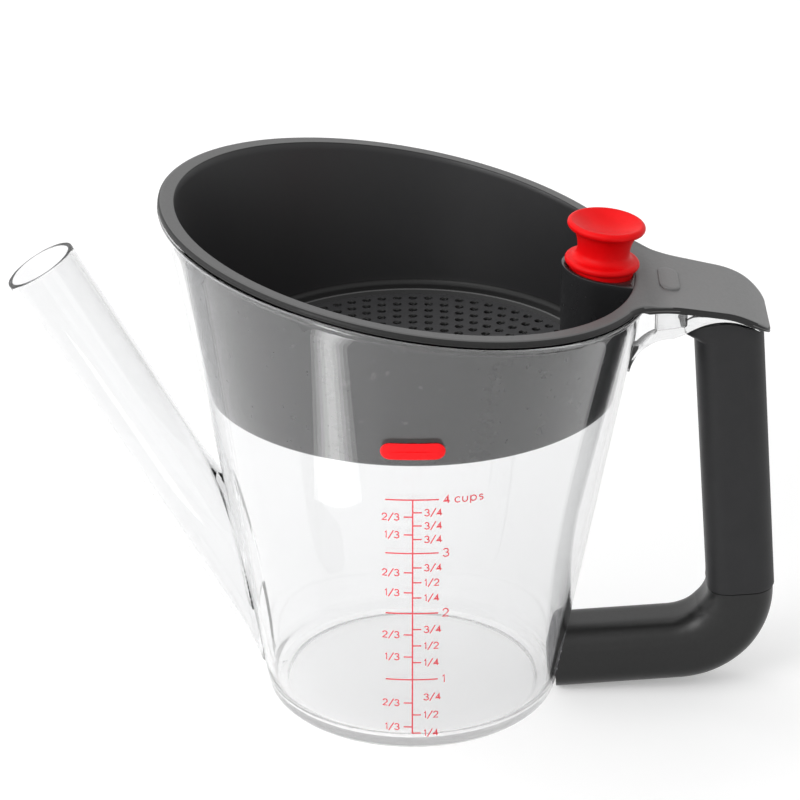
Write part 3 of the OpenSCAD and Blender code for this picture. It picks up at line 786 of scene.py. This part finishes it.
def strainer_shell():
    """Wall, rim and tab as one moulding, with the sloping border at its foot."""
    phi, edge = rim_outline()
    rings = []
    round_edge = on_rim(phi, FLANGE_TOP, -FLANGE_OVER)[0]
    on_tab = soft_step((edge - round_edge) / 6)

    def top(r):
        sunk = on_tab * soft_step((r - round_edge + 1.5) / 7)
        return tab_top(r * np.cos(phi)) + TAB_SINK * (1 - sunk)

    def under(r):
        seat = RIM_H + SEAT_GAP - RIM_SLOPE * r * np.cos(phi)
        clear = soft_step((r - round_edge - 1) / 2)
        x = r * np.cos(phi)
        thin = 1 - 0.45 * soft_step((x - TAB_REACH + 9) / 9)
        return seat + (tab_top(x) + (tab_top(x, TAB_T) - tab_top(x)) * thin - seat) * clear

    # Border and inner wall, up to the rim
    corner = border_corner()
    for r, z in [(BORDER_IN + 2.5, FLOOR_LOW + 0.3), (BORDER_IN - 0.3, FLOOR_TOP - 0.3),
                 (BORDER_IN, FLOOR_TOP + 0.02), (BORDER_IN + 0.6, FLOOR_TOP + 0.4),
                 (BORDER_IN + 1.15, FLOOR_TOP + 0.95), (BORDER_IN + 1.45, BORDER_TOP - 0.06),
                 (BORDER_IN + 1.7, BORDER_TOP), *corner]:
        rings.append(around(phi, r, z))
    inner_round, edge_round = 0.3, 1.35 - 0.75 * on_tab
    top_z = on_rim(phi, FLANGE_TOP - inner_round, BASKET_IN)[1]
    for share in np.linspace(0, 1, 24)[1:]:
        z = corner[-1][1] + (top_z - corner[-1][1]) * share
        rings.append(around(phi, wall_r(z, BASKET_IN), z))
    # Rounded inner edge, top, outer edge and side
    flat_r = on_rim(phi, FLANGE_TOP, BASKET_IN)[0] + inner_round
    for turn in np.radians([30, 60]):
        r = flat_r - inner_round * math.cos(turn)
        rings.append(around(phi, r, top(r) - inner_round * (1 - math.sin(turn))))
    for share in np.linspace(0, 1, 32):
        r = flat_r + (edge - edge_round - flat_r) * share
        rings.append(around(phi, r, top(r)))
    for turn in np.radians([30, 60, 90]):
        r = edge - edge_round * (1 - math.sin(turn))
        rings.append(around(phi, r, top(r) - edge_round * (1 - math.cos(turn))))
    rounded = edge_round / (top(edge) - under(edge))
    for share, inset in [(0.15, 0), (0.25, 0.2), (0.4, 0.2), (0.5, 0), (0.8, 0), (1, 0.25)]:
        r = edge - inset
        rings.append(around(phi, r, top(r) + (under(r) - top(r)) * (rounded + (1 - rounded) * share)))
    # Underside, back to the wall, and down its outside
    seat_r, seat_z = on_rim(phi, SEAT_GAP, BASKET_OUT)
    for share in np.linspace(0, 1, 32)[1:]:
        r = edge - 0.25 + (seat_r + 0.3 - edge + 0.25) * share
        rings.append(around(phi, r, under(r)))
    corner_z = BASKET_LOW + BASKET_ROUND
    corner_x = wall_r(corner_z, BASKET_OUT) - BASKET_ROUND / math.cos(WALL_TILT)
    corner = arc((corner_x, corner_z), BASKET_ROUND, -WALL_TILT_DEG, -90, 8)
    for share in np.linspace(0, 1, 24)[:-1]:
        z = seat_z - 0.3 + (corner[0][1] - seat_z + 0.3) * share
        rings.append(around(phi, wall_r(z, BASKET_OUT), z))
    rings += [around(phi, r, z) for r, z in corner]
    low_r = wall_r(BASKET_LOW, BASKET_IN)
    for r, z in [(low_r + 0.2, BASKET_LOW), (low_r, BASKET_LOW + 0.2), (low_r - 0.1, FLOOR_LOW - 0.2),
                 (low_r - 0.3, FLOOR_LOW), (BORDER_IN + 2.5, FLOOR_LOW)]:
        rings.append(around(phi, r, z))
    shell = loft("strainer_shell", rings, closed=True)
    finish_piece(shell, "strainer", [SATIN_PAINTED_HIGHLIGHT, POLISHED, STRAINER_PAINTED_SHADE, INSIDE],
                 ["strainer_wall", "strainer_rim", "thumb_tab", "floor_border"])
    finish_shell_faces(shell)


def finish_shell_faces(shell):
    """Satin on top and polished walls; the rim's edge and groove, which face aside or down, are painted
    shade, as is the sunk border round the holes, with a thin painted highlight ring on its ledge.
    """
    satin, polished, dark, inside = range(4)
    corner_top = border_corner()[-1][1]
    for face in shell.data.polygons:
        x, y, z = face.center / MM
        level, over_rim = math.hypot(x, y), z - RIM_H + RIM_SLOPE * x
        if level < wall_r(z, BASKET_IN) + 0.15 and over_rim < FLANGE_TOP - 0.25:
            # A thin ring on the ledge gets the light satin as a painted highlight, and the sunk border
            # below the corner the dark copy as painted shade.
            painted_ledge_highlight = 1.25 < level - BORDER_IN < 1.75
            face.material_index = satin if painted_ledge_highlight else dark if z < corner_top else inside
        elif level < wall_r(z) - 1 and over_rim < SEAT_GAP:
            face.material_index = polished
        # Beyond the wall, faces turned up get the light satin and the rest the dark copy: painted light
        # and shade by face direction.
        elif level > wall_r(z) + 2.5:
            face.material_index = satin if face.normal.z > 0.45 else dark
        # Other faces turned aside or down get the dark copy as painted shade.
        elif face.normal.z < 0.78:
            face.material_index = dark


def hole_spots():
    """Middles of the floor's holes: rings of six more each, clear of the socket."""
    clear = SOCKET_R - SOCKET_IN + HOLE_D
    rings = int((BORDER_IN - HOLE_D / 2) / HOLE_PITCH)
    spots = [(0.0, 0.0)]
    for ring in range(1, rings + 1):
        spots += [(ring * HOLE_PITCH * math.cos(a), ring * HOLE_PITCH * math.sin(a))
                  for a in angles(6 * ring) + math.radians(30)]
    return [s for s in spots if math.hypot(s[0] - SOCKET_FOOT_X, s[1]) > clear]


def pierced_disc(spots):
    """A disc with a hole at each spot, bevelled at its upper edge."""
    mouth_r = HOLE_D / 2 + 0.25
    outer = arc((0, 0), BORDER_IN + 1.5, 0, 360, DISC_STEPS)[:-1]
    circle = arc((0, 0), mouth_r, 0, 360, HOLE_STEPS)[:-1]
    flat = np.concatenate([outer] + [circle + s for s in spots])
    starts = [DISC_STEPS + k * HOLE_STEPS for k in range(len(spots))]
    loops = [list(range(DISC_STEPS))] + [list(range(start, start + HOLE_STEPS)) for start in starts]
    edges = [(a, b) for loop in loops for a, b in zip(loop, loop[1:] + loop[:1])]
    points, _, faces, origins, _, _ = delaunay_2d_cdt([Vector(p) for p in flat], edges, [], 0, 1e-6)
    points = np.array([tuple(p) for p in points])
    middles = np.array([points[list(f)].mean(0) for f in faces])
    gaps = np.linalg.norm(middles[:, None] - np.array(spots)[None], axis=2).min(1)
    faces = [tuple(f) for f, gap in zip(faces, gaps) if gap > mouth_r * 0.98]
    solid_points = [*np.insert(points, 2, FLOOR_TOP, axis=1)]
    solid_faces = list(faces)
    order = {o: i for i, os in enumerate(origins) for o in os}
    levels = [(HOLE_D / 2, FLOOR_TOP - 0.35), (HOLE_D / 2, FLOOR_LOW + 0.1),
              (HOLE_D / 2 + 0.1, FLOOR_LOW)]
    below = {}
    for loop, spot in zip(loops[1:], spots):
        above = [order[i] for i in loop]
        for r, z in levels:
            here = [len(solid_points) + i for i in range(HOLE_STEPS)]
            solid_points += [(x, y, z) for x, y in arc(spot, r, 0, 360, HOLE_STEPS)[:-1]]
            solid_faces += zip(above, above[1:] + above[:1], here[1:] + here[:1], here)
            above = here
        below.update({order[i]: j for i, j in zip(loop, above)})
    for i in range(len(points)):
        if i not in below:
            below[i] = len(solid_points)
            solid_points.append((*points[i], FLOOR_LOW))
    solid_faces += [tuple(below[i] for i in reversed(f)) for f in faces]
    edge = [order[i] for i in loops[0]]
    solid_faces += [(a, b, below[b], below[a]) for a, b in zip(edge, edge[1:] + edge[:1])]
    return mesh_object("strainer_sieve", solid_points, solid_faces)


def strainer_floor():
    """The perforated disc, open under the socket, painted lighter on top as a painted highlight and dark
    in its holes as painted shade.
    """
    disc = pierced_disc(hole_spots())
    section = around(angles(64), SOCKET_BORE - SOCKET_IN, FLOOR_LOW - 1) + [SOCKET_FOOT_X, 0, 0]
    boolean(disc, loft("bore", [section, section + [0, 0, BASKET_FLOOR + 2]]))
    finish_piece(disc, "strainer", [SIEVE_PAINTED_HIGHLIGHT, STRAINER_PAINTED_SHADE], ["strainer_floor"])
    # Painted shade: the holes' walls and the disc's outer side get the dark copy.
    for face in disc.data.polygons:
        if face.normal.z < 0.9:
            face.material_index = 1


def on_socket(points):
    """Points of the socket's own frame, whose +Z runs out of its mouth."""
    return turned(points, SOCKET_TILT) + [SOCKET_X, 0, MOUTH_Z]


def stopper_socket():
    """The tube that the stopper closes, with a slanted mouth just below the rim."""
    phi = angles(TUBE_STEPS)
    depth = MOUTH_Z - FLOOR_TOP

    def ring(r, lift, square=False):
        """A ring of the cone, on a plane parallel to the rim."""
        points = around(phi, np.full(len(phi), r), np.zeros(len(phi)))
        if square:
            points = squared(points)
        slant = math.tan(RIM_TILT - SOCKET_TILT)
        height = lift - points[:, 0] * slant
        shrink = 1 + height * math.tan(SOCKET_TILT) / r
        return np.stack([points[:, 0] * shrink, points[:, 1] * shrink, height], 1)

    def level(r, z):
        """A ring of the cone at a depth below the mouth."""
        return around(phi, r - z * math.tan(SOCKET_TILT), -z)

    def squared(points):
        """Straightens the sides of a ring where they meet the strainer's wall."""
        towards_wall = points[:, 0] > 0
        side = np.where(np.abs(points[:, 1]) > 1e-6, np.sign(points[:, 1]), 1)
        r = np.hypot(points[:, 0], points[:, 1])
        turn = np.arctan2(np.abs(points[:, 1]), points[:, 0])
        along = 0.92 * r * np.clip((math.pi / 2 - turn) / 0.8, 0, 1)
        across = side * r * np.clip(turn / (math.pi / 2 - 0.8), 0, 1)
        points[towards_wall, 0] = along[towards_wall]
        points[towards_wall, 1] = across[towards_wall]
        return points

    rings = [squared(level(SOCKET_R, z)) for z in np.linspace(depth + 1, 4, 24)]
    rings += [ring(SOCKET_R, lift, True) for lift in (-2, -0.35)]
    rings += [ring(SOCKET_R - 0.1, -0.1, True), ring(SOCKET_R - 0.35, 0, True)]
    rings += [ring(SOCKET_BORE + 0.35, 0), ring(SOCKET_BORE + 0.1, -0.1),
              ring(SOCKET_BORE, -0.35), ring(SOCKET_BORE, -2)]
    rings += [level(SOCKET_BORE, z) for z in np.linspace(4, depth + 1, 24)]
    tube = loft("socket_tube", [on_socket(r) for r in rings], closed=True)
    finish_piece(tube, "strainer", [POLISHED], ["stopper_socket"])


def tab_badge():
    """A bare pill that stands a little above the tab."""
    x0 = RIM_REACH + TAB_BADGE_OUT
    rings = []
    for r_in, lift in [(0.0, -0.4), (0.0, TAB_BADGE_T - 0.45), (0.12, TAB_BADGE_T - 0.22),
                       (0.4, TAB_BADGE_T - 0.08), (0.9, TAB_BADGE_T - 0.02), (1.6, TAB_BADGE_T)]:
        half_w = TAB_BADGE_W / 2 - r_in
        straight = (TAB_BADGE_LEN - TAB_BADGE_W) / 2
        ends = [arc((0, straight), half_w, 0, 180, 24), arc((0, -straight), half_w, 180, 360, 24)]
        flat = np.concatenate(ends) + [x0, 0]
        rings.append(np.insert(flat, 2, tab_top(flat[:, 0]) + lift, axis=1))
    badge = loft("tab_pill", rings)
    finish_piece(badge, "strainer", [SATIN_PAINTED_HIGHLIGHT], ["tab_badge"])


# ---- Stopper ----

def flare(r1, h1, r2, h2, turn=90):
    """Points of a smooth flare between two radii, which turns by an angle."""
    t = np.radians(np.linspace(0, turn, 13))
    out = (1 - np.cos(t)) / (1 - np.cos(t[-1]))
    return np.stack([r1 + (r2 - r1) * out, h1 + (h2 - h1) * np.sin(t) / np.sin(t[-1])], 1)


def stopper():
    """Plug, flange, waist and dished knob, drawn a little towards the handle."""
    flange_r = PLUG_R + STOPPER_LEDGE
    edge, knob_edge = STOPPER_FLANGE_T / 2, KNOB_EDGE / 2
    plug_end = PLUG_R - PLUG_LEN * math.tan(SOCKET_TILT)
    lower = flare(NECK_R, NECK_H, flange_r - edge, STOPPER_SEAT + STOPPER_FLANGE_T)[::-1]
    upper = flare(NECK_R, NECK_H, KNOB_R - knob_edge, KNOB_H - KNOB_EDGE, 68)
    dish = [((KNOB_R - knob_edge) * (1 - t), KNOB_H - KNOB_DISH * math.sin(math.pi / 2 * t))
            for t in np.linspace(0, 1, 16)[1:-1]]
    profile = [(plug_end - 3, -PLUG_LEN), (plug_end - 1, -PLUG_LEN), (plug_end - 0.3, -PLUG_LEN + 0.3),
               (plug_end, -PLUG_LEN + 1), (PLUG_R, 0), (PLUG_R, STOPPER_SEAT - 0.1),
               *arc((flange_r - edge, STOPPER_SEAT + edge), edge, -90, 90, 14),
               *lower[1:], *upper[1:],
               *arc((KNOB_R - knob_edge, KNOB_H - knob_edge), knob_edge, -90, 90, 14)[1:],
               *dish]
    phi, aside = angles(STOPPER_STEPS), [SEATED_ASIDE, 0, -SEATED_ASIDE * RIM_SLOPE]
    plug = loft("stopper_knob", [on_socket(around(phi, r, z)) + aside for r, z in profile])
    finish_piece(plug, "stopper", [RED], ["stopper"], 50)


# ---- Print on the wall ----

def mark_z(n):
    """Height at which the jug holds a number of cups."""
    return CUP_RISE * n - CUP_CLOSE * n * n


def on_wall(x, z, lift):
    """A point a little outside the front of the jug's wall, at a distance x to the side."""
    r = wall_r(z, -lift)
    return x, -math.sqrt(r * r - x * x), z


def ribbon(path, width):
    """Left and right edges of a stroke along (x, z) points, mitred at its bends."""
    path = np.asarray(path, float)
    step = np.diff(path, axis=0)
    step /= np.linalg.norm(step, axis=1)[:, None]
    normal = np.stack([-step[:, 1], step[:, 0]], 1)
    joint = np.vstack([normal[:1], normal[:-1] + normal[1:], normal[-1:]])
    unit = joint / np.linalg.norm(joint, axis=1)[:, None]
    cosine = np.concatenate([[1], np.sum(unit[1:-1] * normal[1:], 1), [1]])
    offset = unit * (width / 2 / np.clip(cosine, 0.6, 1))[:, None]
    return path + offset, path - offset


def strokes_mesh(name, strokes, width):
    """Strokes printed on the wall, each a thin closed band."""
    points, faces = [], []
    low, high = PRINT_LIFT, PRINT_LIFT + PRINT_T
    for stroke in strokes:
        left, right = ribbon(stroke, width)
        start = len(points)
        for a, b in zip(left, right):
            points += [on_wall(*a, low), on_wall(*b, low), on_wall(*b, high), on_wall(*a, high)]
        for k in range(len(stroke) - 1):
            a, b = start + 4 * k, start + 4 * k + 4
            faces += [(a + i, a + (i + 1) % 4, b + (i + 1) % 4, b + i) for i in range(4)]
        last = start + 4 * (len(stroke) - 1)
        faces += [(start, start + 1, start + 2, start + 3), (last, last + 1, last + 2, last + 3)]
    return mesh_object(name, points, faces)


def line(x1, z1, x2, z2, step=1.0):
    """A straight stroke with enough points to follow the wall."""
    count = max(2, int(math.hypot(x2 - x1, z2 - z1) / step) + 1)
    return [(x1 + (x2 - x1) * t, z1 + (z2 - z1) * t) for t in np.linspace(0, 1, count)]


def bow(cx, cz, rx, rz, start, end, steps):
    """Part of an ellipse, angles in degrees."""
    turn = np.radians(np.linspace(start, end, steps + 1))
    return [(cx + rx * math.cos(a), cz + rz * math.sin(a)) for a in turn]


def glyph(sign):
    """Strokes of a sign, one unit high, and its width. The last one is an s."""
    if sign == "1":
        return [[(0.05, 0.8), (0.22, 1.0), (0.22, 0.0)]], 0.36
    if sign == "2":
        return [bow(0.3, 0.7, 0.27, 0.3, 170, -35, 10) + [(0.02, 0.0), (0.6, 0.0)]], 0.66
    if sign == "3":
        return [bow(0.27, 0.75, 0.25, 0.25, 160, -90, 9), bow(0.27, 0.26, 0.3, 0.26, 90, -160, 10)], 0.64
    if sign == "4":
        return [[(0.47, 0.0), (0.47, 1.0), (0.0, 0.24), (0.65, 0.24)],
                [(0.38, 0.78), (0.38, 0.34), (0.14, 0.34)]], 0.66
    if sign == "/":
        return [[(0.0, -0.16), (0.64, 1.14)]], 0.66
    if sign == "c":
        return [bow(0.3, 0.33, 0.29, 0.33, 45, 315, 12)], 0.6
    if sign == "u":
        return [[(0.04, 0.66)] + bow(0.28, 0.25, 0.24, 0.25, 180, 360, 8) + [(0.52, 0.66)]], 0.66
    if sign == "p":
        return [[(0.05, -0.3), (0.05, 0.66)], bow(0.34, 0.33, 0.29, 0.33, 180, -180, 16)], 0.74
    upper, lower = bow(0.24, 0.49, 0.17, 0.16, 50, 270, 6), bow(0.24, 0.17, 0.19, 0.17, 90, -140, 7)
    return [[(0.42, 0.55)] + upper + lower], 0.5


def label(signs, x, z, height, gap=0.1, from_right=False):
    """Strokes of a label whose middle line is at z and which starts or ends at x."""
    widths = [glyph(s)[1] + gap for s in signs]
    pen = x - (sum(widths) - gap) * height if from_right else x
    strokes = []
    for sign, width in zip(signs, widths):
        strokes += [[(pen + px * height, z + (pz - 0.5) * height) for px, pz in stroke]
                    for stroke in glyph(sign)[0]]
        pen += width * height
    return strokes


def cup_scale():
    """The upright line, its bars and ticks, and plain measuring numbers."""
    lines = [line(0, mark_z(1 / 4) - LINE_W / 2, 0, mark_z(CUPS) + LINE_W / 2, 4)]
    text = []
    for n in range(1, CUPS + 1):
        lines.append(line(-BAR_HALF, mark_z(n), BAR_HALF - 0.4, mark_z(n)))
        text += label(str(n), 9.5, mark_z(n), BIG_SIGN_H)
    right_signs = ("1/4", "1/2", "3/4")
    for n in range(CUPS):
        for part in (1, 2, 3):
            z = mark_z(n + part / 4)
            if n > 0 or part < 3:
                lines.append(line(0, z, TICK_LEN, z))
            text += label(right_signs[part - 1] if n < 3 else "3/4", 3.7, z, SIGN_H)
        for part in (1, 2):
            z = mark_z(n + part / 3)
            lines.append(line(-TICK_LEN, z, 0, z))
            text += label(("1/3", "2/3")[part - 1], -4.1, z, SIGN_H, from_right=True)
    text += label("cups", 13.0, mark_z(CUPS), BIG_SIGN_H, 0.14)
    finish_piece(strokes_mesh("scale_lines", lines, 0.46), "jug", [PRINT], ["cup_scale"])
    finish_piece(strokes_mesh("scale_numbers", text, 0.37), "jug", [PRINT])


def wall_badge():
    """A bare red pill printed on the wall."""
    half_w = WALL_BADGE_W / 2
    straight = (WALL_BADGE_LEN - WALL_BADGE_W) / 2
    rings = []
    for share, lift in [(1, 0.02), (1, 0.2), (0.94, 0.3), (0.7, 0.32), (0.35, 0.33), (0.05, 0.33)]:
        flat = np.concatenate([arc((straight, 0), half_w * share, -90, 90, 20),
                               arc((-straight, 0), half_w * share, 90, 270, 20)])
        steps = []
        for a, b in zip(flat, np.roll(flat, -1, 0)):
            count = max(1, int(np.linalg.norm(b - a)))
            steps += [a + (b - a) * k / count for k in range(count)]
        rings.append(np.array([on_wall(x, WALL_BADGE_H + z, lift) for x, z in steps]))
    badge = loft("wall_pill", rings)
    finish_piece(badge, "jug", [BADGE], ["wall_badge"])


# ---- Camera, light and floor ----

def camera():
    data = bpy.data.cameras.new("camera")
    data.lens, data.sensor_width = LENS, 36
    cam = add_object("camera", data)
    cam.location = CAMERA_AT
    cam.rotation_euler = (math.pi / 2 - CAMERA_DOWN, 0, CAMERA_TURN)
    bpy.context.scene.camera = cam


def seen_rays(tree):
    """1 for a ray from the camera, a mirror or glass, and 0 for one that lights a surface."""
    rays = tree.nodes.new("ShaderNodeLightPath").outputs
    seen = rays["Is Camera Ray"]
    for kind in ("Is Glossy Ray", "Is Transmission Ray"):
        either = tree.nodes.new("ShaderNodeMath")
        either.operation = "MAXIMUM"
        tree.links.new(seen, either.inputs[0])
        tree.links.new(rays[kind], either.inputs[1])
        seen = either.outputs[0]
    return seen


def floor():
    """A pale floor, brighter where it is seen than where it lights the object."""
    low, high = -FLOOR_HALF, FLOOR_HALF
    mesh = bpy.data.meshes.new("floor")
    mesh.from_pydata([(low, low, 0), (high, low, 0), (high, high, 0), (low, high, 0)], [], [(0, 1, 2, 3)])
    obj = add_object("floor", mesh)
    obj.location.z = -0.0001
    mat = bpy.data.materials.new("floor")
    mat.use_nodes = True
    nodes, links = mat.node_tree.nodes, mat.node_tree.links
    nodes.clear()
    diffuse = nodes.new("ShaderNodeBsdfDiffuse")
    diffuse.inputs["Color"].default_value = (0.8, 0.8, 0.8, 1)
    strength = nodes.new("ShaderNodeMath")
    strength.operation = "MULTIPLY"
    strength.inputs[1].default_value = FLOOR_GLOW
    glow = nodes.new("ShaderNodeEmission")
    both = nodes.new("ShaderNodeAddShader")
    output = nodes.new("ShaderNodeOutputMaterial")
    links.new(seen_rays(mat.node_tree), strength.inputs[0])
    links.new(strength.outputs[0], glow.inputs["Strength"])
    links.new(diffuse.outputs[0], both.inputs[0])
    links.new(glow.outputs[0], both.inputs[1])
    links.new(both.outputs[0], output.inputs["Surface"])
    mesh.materials.append(mat)


def world():
    """Even light of 0.7 all round, which looks white."""
    made = bpy.data.worlds.new("studio")
    bpy.context.scene.world = made
    made.use_nodes = True
    nodes, links = made.node_tree.nodes, made.node_tree.links
    background = nodes["Background"]
    background.inputs["Color"].default_value = (1, 1, 1, 1)
    strength = nodes.new("ShaderNodeMapRange")
    strength.inputs["To Min"].default_value = 0.7
    strength.inputs["To Max"].default_value = 1.0
    links.new(seen_rays(made.node_tree), strength.inputs["Value"])
    links.new(strength.outputs["Result"], background.inputs["Strength"])


def lamp(name, at, turn, length, width, power):
    """A flat lamp that the camera doesn't see, neither directly nor through glass."""
    data = bpy.data.lights.new(name, "AREA")
    data.shape, data.size, data.size_y, data.energy = "RECTANGLE", length, width, power
    obj = add_object(name, data)
    obj.location, obj.rotation_euler = at, turn
    obj.visible_camera = obj.visible_transmission = False


def softbox(name, at, size, power):
    """A square lamp that points at the jug."""
    aim = Vector((0, 0, 0.08)) - Vector(at)
    lamp(name, at, aim.to_track_quat("-Z", "Y").to_euler(), size, size, power)


def low_strips():
    """Strips of light on the floor, one over another, for a soft gleam on the wall."""
    x, y = -0.13, -0.167
    for level, width in enumerate((0.07, 0.055, 0.042, 0.03, 0.015)):
        lamp(f"low_strip_{level}", (x, y, 0.001 + 0.0005 * level), (math.pi, 0, math.atan2(y, x)),
             0.12, width, 0.6 * width)


camera()
world()
floor()
softbox("key", (-0.5, 0.4, 1.2), 0.9, 3.6)
softbox("front", (-0.55, -0.75, 0.7), 0.5, 4.5)
softbox("left", (-1.1, -0.3, 0.55), 0.6, 5.0)
low_strips()
bpy.context.scene.view_settings.view_transform = "Standard"

clear_jug()
handle_arm()
grip_sleeve()
grip_collar()
peg_materials = frame["nodes"]["arm_peg"].data.materials
peg_materials.clear()
peg_materials.append(CLEAR)
strainer_shell()
strainer_floor()
stopper_socket()
tab_badge()
stopper()
cup_scale()
wall_badge()
